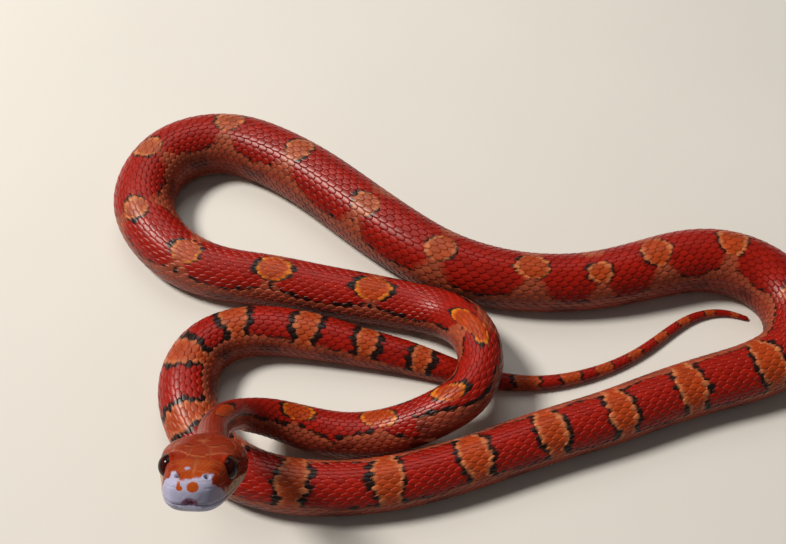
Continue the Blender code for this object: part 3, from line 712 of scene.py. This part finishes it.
def wrap_eyes(places):
    """The skin drawn over each eyeball like a brow, with a round opening where the eye shows."""
    opening = np.full(len(places), 9.0)
    for side in (1.0, -1.0):
        off = places - (side * EYE_SIDE, EYE_BACK, EYE_UP)
        far = np.maximum(np.linalg.norm(off, axis=1), 0.05)
        angle = np.arccos(np.clip(off @ eye_axis(side) / far, -1.0, 1.0))
        hull = EYE_RADIUS + EYE_RIM - 0.05 * smooth(EYE_OPEN + 0.3, EYE_OPEN, angle)
        over = 0.5 * (far + hull + np.sqrt((far - hull) ** 2 + 0.02))
        near = far < EYE_RADIUS + 1.2
        clear_of_ball = smooth(EYE_RADIUS + 0.02, EYE_RADIUS + 0.16, far)
        shut = np.maximum(smooth(EYE_OPEN - 0.02, EYE_OPEN + 0.10, angle), clear_of_ball)
        wrapped = np.minimum(far, EYE_RADIUS - 0.45) * (1.0 - shut) + over * shut
        wrapped = wrapped + 0.04 * hill(angle - EYE_OPEN - 0.20, 0.10)
        wrapped = wrapped - 0.03 * hill(angle - EYE_OPEN - 0.42, 0.07)
        ease = smooth(EYE_RADIUS + 1.2, EYE_RADIUS + 0.7, far)
        moved = far + (wrapped - far) * ease
        outside = off[:, 0] * side > -1.6
        grow = np.where(near & outside, moved / far, 1.0)
        places = places + off * (grow - 1.0)[:, None]
        opening = np.where(near, np.minimum(opening, shut), opening)
    return places, opening


def carve_head(places, normals):
    """The folds and seams of the head, in its own frame."""
    x, back, z = places.T
    seams = distances(seam_tree(), places)
    fade = smooth(15.2, 13.8, back)
    fade = fade * (0.50 + 0.50 * smooth(2.2, 4.5, back))
    out = -(0.085 * hill(seams, 0.11) + 0.035 * np.exp(-seams / 0.40)) * fade
    lips = np.linspace(0.0, LIPS_END, 400)
    across, height = snake.section(lips, snake.mouth_turn(lips))
    tree = KDTree(2 * len(lips))
    for i in range(len(lips)):
        tree.insert((across[i], lips[i], height[i]), i)
        tree.insert((-across[i], lips[i], height[i]), i + len(lips))
    tree.balance()
    mouth = distances(tree, places)
    out -= (0.10 + 0.08 * smooth(2.0, 5.0, back)) * hill(mouth, 0.12) * smooth(13.4, 12.0, back)
    out += 0.05 * hill(mouth - 0.5, 0.28) * smooth(13.4, 11.0, back)
    nostril = np.linalg.norm(np.column_stack([np.abs(x), back, z]) - NOSTRIL, axis=1)
    on_side = z > -0.5
    out -= np.where(on_side, 0.55 * hill(nostril, 0.30), 0.0)
    out += np.where(on_side, 0.06 * hill(nostril - 0.55, 0.16), 0.0)
    beside = smooth(2.4, 3.2, np.abs(x))
    out -= 0.10 * hill(np.hypot((back - 3.9) / 1.2, (z - 0.9) / 0.7), 1.0) * beside
    notch = hill(x / 0.95, 1.0) ** 2 * hill((z + 1.42) / 0.28, 1.0) * smooth(0.9, 0.4, back)
    out -= 0.16 * notch
    places, opening = wrap_eyes(places + normals * out[:, None])
    return places, seams, nostril, mouth, opening


def skin_front(head_s, turns):
    """Points and colours of the head's skin, with its blunt front closed by smaller rings."""
    s_grid = np.repeat(head_s[:, None], turns.shape[1], axis=1)
    across, height = snake.section(s_grid, turns)
    local = np.stack([across, s_grid, height], axis=-1)
    caps = np.array([local[0] * (size, 1.0, size) for size in CAP_SIZES])
    caps[:, :, 1] = -CAP_BULGE * (1.0 - np.array(CAP_SIZES)[:, None] ** 2)
    front = np.concatenate([caps, local])
    normals = grid_normals(front).reshape(-1, 3)
    flat = front.reshape(-1, 3)
    s = np.concatenate([np.zeros(caps.shape[:2]), s_grid]).ravel()
    arcs = snake.arc_of(np.concatenate([np.repeat(turns[:1], len(caps), axis=0), turns]).ravel())
    inward = flat - normals * coat_depth(s, arcs)[:, None]
    carved, seams, nostril, mouth, opening = carve_head(inward, normals)
    tones = head_markings(flat[:, 0], np.maximum(flat[:, 1], 0.0), flat[:, 2])
    tones = blend(tones, markings(s, arcs), smooth(13.0, 14.0, s))
    tones = blend(tones, COLOUR["plate_edge"] * 0.8, 0.20 * hill(seams, 0.16) * (flat[:, 2] > 1.4))
    tones = blend(tones, COLOUR["red_deep"] * 0.5, 0.30 * hill(seams, 0.07) * smooth(2.5, 4.5, s))
    # painted shade: the carved nostrils darkened, standing in for the shade in their hollows
    tones = tint(tones, "painted_hollow_shade", 0.92 * hill(nostril, 0.26) * (flat[:, 2] > 0.0))
    lip_edge = (0.25 + 0.35 * smooth(2.0, 6.0, s)) * hill(mouth, 0.10) * smooth(13.4, 12.0, s)
    tones = blend(tones, COLOUR["lip_pink"] * 0.9, lip_edge)
    # painted shade: the skin round each eye's opening darkened where it tucks in under the brow
    return snake.to_world(carved), tint(tones, "painted_hollow_shade", smooth(0.75, 0.35, opening))


def skin_rings(s, turns):
    """Points and colours of the rings of skin behind the head."""
    s = np.repeat(s[:, None], turns.shape[1], axis=1)
    arcs = snake.arc_of(turns)
    points = snake.point(s, turns, -coat_depth(s, arcs))
    return points.reshape(-1, 3), markings(s, arcs).reshape(-1, 3)


def ring_faces(first, count, rings):
    """The faces between neighbouring rings, from the ring that starts at first."""
    faces = []
    for low in range(first, first + (rings - 1) * count, count):
        for i in range(count):
            j = (i + 1) % count
            faces.append((low + i, low + j, low + count + j, low + count + i))
    return faces


def build_skin():
    """One unbroken skin: fine rings on the head and neck, and coarser ones on the body."""
    share = np.linspace(0.0, 1.0, HEAD_RINGS)
    head_s = HEAD_LENGTH * (0.30 * share + 0.70 * share ** 1.6)
    neck_s = np.linspace(HEAD_LENGTH, NECK_END, NECK_RINGS + 1)[1:]
    turns = head_turns(np.concatenate([head_s, neck_s]))
    count = UPPER + LOWER
    coarse = count // COARSER
    body_s = np.arange(NECK_END + BODY_START, snake.length - 0.25, BODY_STEP)
    evenly = snake.turn_of((np.arange(coarse) / coarse) * snake.girth - snake.crown)
    first = turns[-1][::COARSER]
    evenly = np.unwrap(evenly + (first[0] - evenly[0]))
    settle = smooth(NECK_END, NECK_END + 14.0, body_s)[:, None]
    body_turns = first * (1.0 - settle) + evenly * settle
    strips = [skin_front(head_s, turns[:HEAD_RINGS]), skin_rings(neck_s, turns[HEAD_RINGS:]),
              skin_rings(body_s, body_turns)]
    points, colours = (list(rows) for rows in zip(*strips))
    tip, crown = np.array([snake.length]), np.array([0.0])
    points += [snake.point(tip, crown, -0.45), snake.to_world(np.array([[0.0, -0.13, 0.0]]))]
    colours += [markings(tip, crown), colours[0][:1]]

    fine_rings = len(CAP_SIZES) + len(turns)
    faces = ring_faces(0, count, fine_rings)
    base = fine_rings * count
    for i in range(coarse):
        rim = [base - count + (COARSER * i + k) % count for k in range(COARSER + 1)]
        faces.append((*rim, base + (i + 1) % coarse, base + i))
    faces += ring_faces(base, coarse, len(body_s))
    end = base + len(body_s) * coarse
    last = end - coarse
    faces += [(last + i, last + (i + 1) % coarse, end) for i in range(coarse)]
    faces += [((i + 1) % count, i, end + 1) for i in range(count)]
    return mesh_object("skin", np.concatenate(points), faces, np.concatenate(colours))


# The scales

PITCH = [(0, 0.95), (14, 1.0), (19, 1.1), (35, 1.4), (60, 1.75), (110, 2.0), (200, 2.2), (480, 2.15),
         (560, 1.9), (600, 1.5), (660, 0.95)]
ROW_COUNT = [(0, 25.0), (14, 25.0), (19, 17.0), (40, 19.0), (80, 23.0), (130, 25.0), (480, 25.0),
             (560, 19.0), (585, 14.0), (605, 10.0), (630, 8.0), (660, 6.0)]
VENT, FIRST_VENTRAL, TAIL_END = 553.0, 16.0, 1.2
SCALE_PROFILE = [(0.0, 0.60), (0.25, 0.95), (0.50, 1.0), (0.72, 0.86), (0.90, 0.52), (1.0, 0.17)]
PLATE_PROFILE = [(0.0, 0.96), (0.35, 1.0), (0.75, 1.0), (0.93, 0.97), (1.0, 0.90)]
# A scale's length in pitches and its width in rows, its root under the surface and its rise.
SCALE_LONG, SCALE_WIDE, EDGE_ROW_WIDER = 1.55, 1.48, 1.12
SCALE_ROOT, SCALE_RISE, PLATE_RISE, KEEL = -0.175, 0.12, 0.11, 0.028
PLATE_LONG, TAIL_PLATE_WIDE, TAIL_PLATE_BEHIND = 1.30, 0.56, 0.35
SIDE_ROWS, COUNT_STEP, SLIDE_ROWS = 22, 0.25, 6.0
PLACE_SPREAD, LENGTH_SPREAD, SHADE_SPREAD, PLATE_SHADE_SPREAD = 0.035, 0.02, 0.075, 0.05
PATCH, FOLDS = 0.003, 10
OWN_PLACE, FIRST_SHOWN = 0.7, 0.23
LENGTHS = ["neck", "left_loop", "upper_length", "right_loop", "lower_length", "tail"]


def fold_map(s, arc):
    """The skin's own unwrap: the strip of the snake folded into bands one above another."""
    place = s / snake.length * FOLDS
    band = np.minimum(np.floor(place), FOLDS - 1)
    across = (arc / snake.girth + 0.5) * 0.94 + 0.03
    return (place - band) * 0.98 + 0.01, (band + across) / FOLDS


def scale_template(columns, profile):
    """One closed scale on a grid: its share of length and width, top or underside, and faces."""
    top = [(u, v * w) for u, w in profile for v in columns]
    n, m = len(profile), len(columns)
    rim = list(range(m))
    rim += [r * m + m - 1 for r in range(1, n)]
    rim += [(n - 1) * m + i for i in range(m - 2, -1, -1)]
    rim += [r * m for r in range(n - 2, 0, -1)]
    corners = [r * m + c for r in range(n - 1) for c in range(m - 1)]
    faces = [(a, a + 1, a + m + 1, a + m) for a in corners]
    below = {index: n * m + k for k, index in enumerate(rim)}
    for k, index in enumerate(rim):
        after = rim[(k + 1) % len(rim)]
        faces.append((index, below[index], below[after], after))
    for r in range(n - 1):
        left, right = r * m, r * m + m - 1
        upper_left, upper_right = left + m, right + m
        face = [below[left]]
        if r == n - 2:
            face += [below[upper_left + c] for c in range(m)]
        else:
            face += [below[upper_left], below[upper_right]]
        face.append(below[right])
        if r == 0:
            face += [below[left + c] for c in range(m - 2, 0, -1)]
        faces.append(tuple(face))
    u, v = np.array(top + [top[i] for i in rim]).T
    middle = v[:n * m] / np.maximum(np.repeat([w for _, w in profile], m), 1e-6)
    middle = np.concatenate([middle, middle[rim]])
    under = np.arange(len(u)) >= n * m
    return u, v, middle, under, faces, np.arange(len(faces)) < len(corners)


def coat(name, template, centre_s, centre_arc, length, width, keel, shades, rise=SCALE_RISE):
    """Many scales in one mesh, each bent over the skin at its own place."""
    u, v, middle, under, faces, soft = template
    s = centre_s[:, None] + (u[None, :] - 0.5) * length[:, None]
    s = np.clip(s, 0.05, snake.length - 0.02)
    half = snake.half(centre_s)
    arc = centre_arc[:, None] + v[None, :] * (width / half / 2.0)[:, None]
    thick = np.clip(half / 3.0, 0.25, 1.0)[:, None]
    crown = 0.030 * (1.0 - middle ** 2) * np.minimum(1.0, 5.0 * u) * (1.0 - 0.5 * u ** 4)
    ridge = keel[:, None] * (np.abs(middle) < 0.1) * np.minimum(1.0, 4.0 * u)
    top = SCALE_ROOT + rise * u + crown + ridge
    out = np.where(under, top - (0.035 + 0.055 * u), top) * thick
    points = snake.point(s, snake.turn_of(arc), out).reshape(-1, 3)
    every = [tuple(base + k for k in face) for base in range(0, len(points), len(u)) for face in faces]
    # painted shade and light: each scale darker at its tucked root, under the scale before it, and
    # lighter at its free hind edge
    root_shade_tip_light = 0.84 + 0.22 * u
    near_s = centre_s[:, None] + OWN_PLACE * (s - centre_s[:, None])
    near_arc = centre_arc[:, None] + OWN_PLACE * (arc - centre_arc[:, None])
    near_arc = np.where(near_arc > snake.girth / 2.0, near_arc - snake.girth, near_arc)
    colour = markings(near_s, near_arc) * (shades[:, None] * root_shade_tip_light[None, :])[..., None]
    colour = np.clip(colour, 0.002, 1.0).reshape(-1, 3)
    root_u, root_v = fold_map(centre_s, centre_arc)
    own_map = np.stack([root_u[:, None] + (u - 0.5) * PATCH, root_v[:, None] + v * PATCH / 2.0], axis=-1)
    patches = own_map.reshape(-1, 2)
    return mesh_object(name, points, every, colour, np.tile(soft, len(centre_s)), patches)


def phase():
    """Where each scale of a row sits: the number of scales up to s."""
    s = np.arange(0.0, snake.length, COUNT_STEP)
    steps = COUNT_STEP / table(PITCH, s[:-1] + COUNT_STEP / 2.0)
    return s, np.concatenate([[0.0], np.cumsum(steps)])


def lay_scales():
    """The places of all the scales of the back and sides."""
    rng = np.random.default_rng(7)
    s_table, count_table = phase()
    found = []
    for k in range(-SIDE_ROWS, SIDE_ROWS + 1):
        count = np.arange(6, int(count_table[-1])) + (0.5 if k % 2 else 0.0)
        # near the head each row slides a little, so that its first scale meets the plates
        first_arc = k * 2.0 * VENTRAL_EDGE / ROW_COUNT[0][1]
        edge_count = np.interp(plate_edge(first_arc), s_table, count_table)
        meeting = edge_count + FIRST_SHOWN
        slide = held(1.0 - (count - edge_count) / SLIDE_ROWS)
        count = count + (meeting - np.round(meeting)) * slide
        s = np.interp(count, count_table, s_table)
        s = s[s < snake.length - TAIL_END]
        rows = table(ROW_COUNT, s)
        arc = k * 2.0 * VENTRAL_EDGE / rows
        limit = np.where(s < FIRST_VENTRAL - 0.5, snake.girth / 2.0 - 0.05, VENTRAL_EDGE + 0.02)
        keep = (np.abs(arc) < limit) & (s > plate_edge(arc) - 0.3 * table(PITCH, s))
        found.append(np.column_stack([s, arc, rows])[keep])
    found = np.concatenate(found)
    found[:, 0] += rng.normal(0.0, PLACE_SPREAD, len(found))
    return found[np.argsort(found[:, 0], kind="stable")], rng


def build_scales():
    """The scales of the back and sides, in pieces from the neck to the tail."""
    found, rng = lay_scales()
    s, arc, rows = found.T
    length = table(PITCH, s) * SCALE_LONG * (1.0 + rng.normal(0.0, LENGTH_SPREAD, len(s)))
    width = 2.0 * VENTRAL_EDGE * snake.half(s) / rows * SCALE_WIDE
    edge_row = np.abs(arc) > VENTRAL_EDGE - 2.2 * 2.0 * VENTRAL_EDGE / rows
    width = np.where(edge_row, width * EDGE_ROW_WIDER, width)
    keel = KEEL * smooth(60.0, 140.0, s) * smooth(1.7, 0.9, np.abs(arc)) * smooth(620.0, 560.0, s)
    shades = 1.0 + rng.normal(0.0, SHADE_SPREAD, len(s))
    template = scale_template((-1.0, -0.5, 0.0, 0.5, 1.0), SCALE_PROFILE)
    shares = [len(s) * i // len(LENGTHS) for i in range(len(LENGTHS) + 1)]
    return [coat("scales_" + name, template, *(values[low:high] for values in
                                               (s, arc, length, width, keel, shades)))
            for name, low, high in zip(LENGTHS, shares, shares[1:])]


def build_belly():
    """The broad belly plates, and the pairs of small ones under the tail."""
    s_table, count_table = phase()
    s = np.interp(np.arange(8, int(count_table[-1])) + 0.25, count_table, s_table)
    broad = s[(s > FIRST_VENTRAL) & (s < VENT)]
    middle = snake.girth / 2.0
    span = 2.0 * (middle - VENTRAL_EDGE + 0.10)
    rng = np.random.default_rng(11)

    def plates(name, columns, where, arc, share):
        width = np.full(len(where), span * share) * snake.half(where)
        shades = 1.0 + rng.normal(0.0, PLATE_SHADE_SPREAD, len(where))
        template = scale_template(tuple(np.linspace(-1.0, 1.0, columns)), PLATE_PROFILE)
        return coat(name, template, where, arc, table(PITCH, where) * PLATE_LONG, width,
                    np.zeros(len(where)), shades, rise=PLATE_RISE)

    under_tail = s[(s >= VENT) & (s < snake.length - TAIL_END)]
    behind = under_tail + TAIL_PLATE_BEHIND * table(PITCH, under_tail)
    where = np.concatenate([under_tail, behind])
    arc = np.repeat([middle - span / 4.0, middle + span / 4.0], len(under_tail))
    keep = where < snake.length - TAIL_END
    return [plates("belly_plates", 15, broad, np.full(len(broad), middle), 1.0),
            plates("tail_plates", 7, where[keep], arc[keep], TAIL_PLATE_WIDE)]


# The eyes


def build_eye(name, side):
    """A round eye under its clear scale, a little flattened, in its place in the head."""
    bpy.ops.object.select_all(action="DESELECT")
    bpy.ops.mesh.primitive_uv_sphere_add(segments=48, ring_count=32, radius=EYE_RADIUS * 0.985)
    eye = bpy.context.object
    eye.name = eye.data.name = name
    points = np.array([vertex.co[:] for vertex in eye.data.vertices])
    ahead = np.maximum(points[:, 2] / EYE_RADIUS - 0.5, 0.0)
    points[:, 2] -= 0.30 * ahead ** 2
    from_axis = np.where(points[:, 2] > 0.0, np.hypot(points[:, 0], points[:, 1]), EYE_RADIUS)
    look = Vector(eye_axis(side)).to_track_quat("Z", "Y").to_matrix()
    points = points @ np.array(look).T
    tones = tint(COLOUR["iris"], "pupil", smooth(0.92, 0.82, from_axis))
    lay_markings(eye.data, tint(tones, "eye_rim", smooth(1.15, 1.5, from_axis)))
    places = snake.to_world(points + (side * EYE_SIDE, EYE_BACK, EYE_UP)) * MM
    for vertex, place in zip(eye.data.vertices, places):
        vertex.co = place
    mesh = bmesh.new()
    mesh.from_mesh(eye.data)
    bmesh.ops.recalc_face_normals(mesh, faces=mesh.faces)
    mesh.to_mesh(eye.data)
    mesh.free()
    eye.data.shade_smooth()
    return eye


# Materials


class Maker:
    """Adds nodes to one material."""

    def __init__(self, name):
        self.material = bpy.data.materials.new(name)
        self.material.use_nodes = True
        self.tree = self.material.node_tree
        self.shader = self.tree.nodes["Principled BSDF"]
        self.place = self.node("ShaderNodeTexCoord", {}).outputs["Object"]

    def node(self, kind, settings, **sockets):
        made = self.tree.nodes.new(kind)
        for key, value in settings.items():
            setattr(made, key, value)
        for key, value in sockets.items():
            numbered = key[0] == "i" and key[1:].isdigit()
            self.join(made.inputs[int(key[1:]) if numbered else key], value)
        return made

    def join(self, socket, value):
        if isinstance(value, Number):
            value = value.socket
        if isinstance(value, bpy.types.NodeSocket):
            self.tree.links.new(value, socket)
        else:
            socket.default_value = value

    def shade(self, **sockets):
        for key, value in sockets.items():
            self.join(self.shader.inputs[key.replace("_", " ")], value)

    def noise(self, scale, detail):
        made = self.node("ShaderNodeTexNoise", {}, Vector=self.place, Scale=scale, Detail=detail)
        return Number(self, made.outputs["Fac"])

    def marked(self, light):
        """The piece's own markings, lighter or darker."""
        colour = self.node("ShaderNodeAttribute", {"attribute_name": "markings"}).outputs["Color"]
        made = self.node("ShaderNodeVectorMath", {"operation": "SCALE"}, i0=colour, Scale=light)
        return made.outputs[0]


class Number:
    """A socket that can be reckoned with."""

    def __init__(self, maker, socket):
        self.maker, self.socket = maker, socket

    def reckon(self, operation, first, second):
        made = self.maker.node("ShaderNodeMath", {"operation": operation}, i0=first, i1=second)
        return Number(self.maker, made.outputs[0])

    def __add__(self, other):
        return self.reckon("ADD", self, other)

    def __mul__(self, other):
        return self.reckon("MULTIPLY", self, other)

    def __rsub__(self, other):
        return self.reckon("SUBTRACT", other, self)

    __radd__, __rmul__ = __add__, __mul__


def scaly_finish(name, roughness, specular, coat_weight, bump):
    """Living scale: its own markings, a fine grain and a soft gloss."""
    maker = Maker(name)
    grain, cloud = maker.noise(2600.0, 3.0), maker.noise(420.0, 2.0)
    height = maker.node("ShaderNodeBump", {}, Strength=bump, Distance=0.00005, Height=grain)
    maker.shade(Base_Color=maker.marked(0.80 + cloud * 0.24 + grain * 0.16),
                Roughness=roughness + grain * 0.12, Normal=height.outputs[0],
                Specular_IOR_Level=specular, Coat_Weight=coat_weight, Coat_Roughness=0.28)
    return maker.material


def eye_finish():
    """A dark, wet eye with the faintest flecks."""
    maker = Maker("dark eye under a clear scale")
    fleck = maker.noise(3800.0, 2.0)
    maker.shade(Base_Color=maker.marked(0.6 + fleck * 0.8), Roughness=0.06 + fleck * 0.04,
                Specular_IOR_Level=0.11, Coat_Weight=0.01, Coat_Roughness=0.02)
    return maker.material


def floor_finish():
    """A pale matt floor, a little cloudy."""
    maker = Maker("pale matt floor")
    cloud = maker.noise(14.0, 3.0)
    mixed = maker.node("ShaderNodeMix", {"data_type": "RGBA"}, Factor=cloud,
                       i6=(0.60, 0.58, 0.545, 1.0), i7=(0.66, 0.64, 0.605, 1.0))
    maker.shade(Base_Color=mixed.outputs[2], Roughness=0.75 + cloud * 0.1)
    return maker.material


# The finished animal

FLESH = sorted(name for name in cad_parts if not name.startswith("eye_"))
skin = build_skin()
skin.data.materials.append(scaly_finish("head and body skin", 0.22, 0.05, 0.0, 0.22))
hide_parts(*FLESH)
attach(skin, "root")

scale_look = scaly_finish("living scale", 0.27, 0.20, 0.04, 0.20)
for piece in build_scales() + build_belly():
    piece.data.materials.append(scale_look)
    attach(piece, "root")

eye_look = eye_finish()
for name, side in (("eye_left", 1.0), ("eye_right", -1.0)):
    eye = build_eye(name + "_ball", side)
    eye.data.materials.append(eye_look)
    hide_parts(name)
    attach(eye, "root")

# Floor, light and camera

SENSOR, FOCAL_PIXELS, PHOTO_WIDTH = 36.0, 900.0, 786.0
CAMERA_PLACE, CAMERA_TILT = (-0.013, -0.104, 0.160), math.radians(37.0)


def soft_light(name, place, size, power, colour):
    """A round soft light that looks at the middle of the floor."""
    data = bpy.data.lights.new(name, "AREA")
    data.shape = "DISK"
    data.size = size
    data.energy = power
    data.color = colour
    light = bpy.data.objects.new(name, data)
    bpy.context.scene.collection.objects.link(light)
    light.location = place
    light.rotation_euler = (-Vector(place)).to_track_quat("-Z", "Y").to_euler()


bpy.ops.mesh.primitive_circle_add(vertices=96, radius=3.0, fill_type="NGON")
floor = bpy.context.object
floor.name = floor.data.name = "floor"
floor.data.materials.append(floor_finish())

soft_light("overhead", (-0.58, 0.18, 0.76), 0.26, 10.5, (1.0, 0.945, 0.86))
soft_light("window", (-0.10, 0.55, 0.75), 0.60, 2.4, (0.95, 0.92, 0.88))
world = bpy.data.worlds.new("studio")
bpy.context.scene.world = world
world.use_nodes = True
world.node_tree.nodes["Background"].inputs["Color"].default_value = (0.83, 0.81, 0.76, 1.0)
world.node_tree.nodes["Background"].inputs["Strength"].default_value = 0.13
bpy.context.scene.view_settings.view_transform = "Standard"

camera_data = bpy.data.cameras.new("camera")
camera_data.sensor_width = SENSOR
camera_data.lens = SENSOR * FOCAL_PIXELS / PHOTO_WIDTH
camera_data.clip_start = 0.005
camera = bpy.data.objects.new("camera", camera_data)
bpy.context.scene.collection.objects.link(camera)
camera.location = CAMERA_PLACE
camera.rotation_euler = (CAMERA_TILT, 0.0, 0.0)
bpy.context.scene.camera = camera
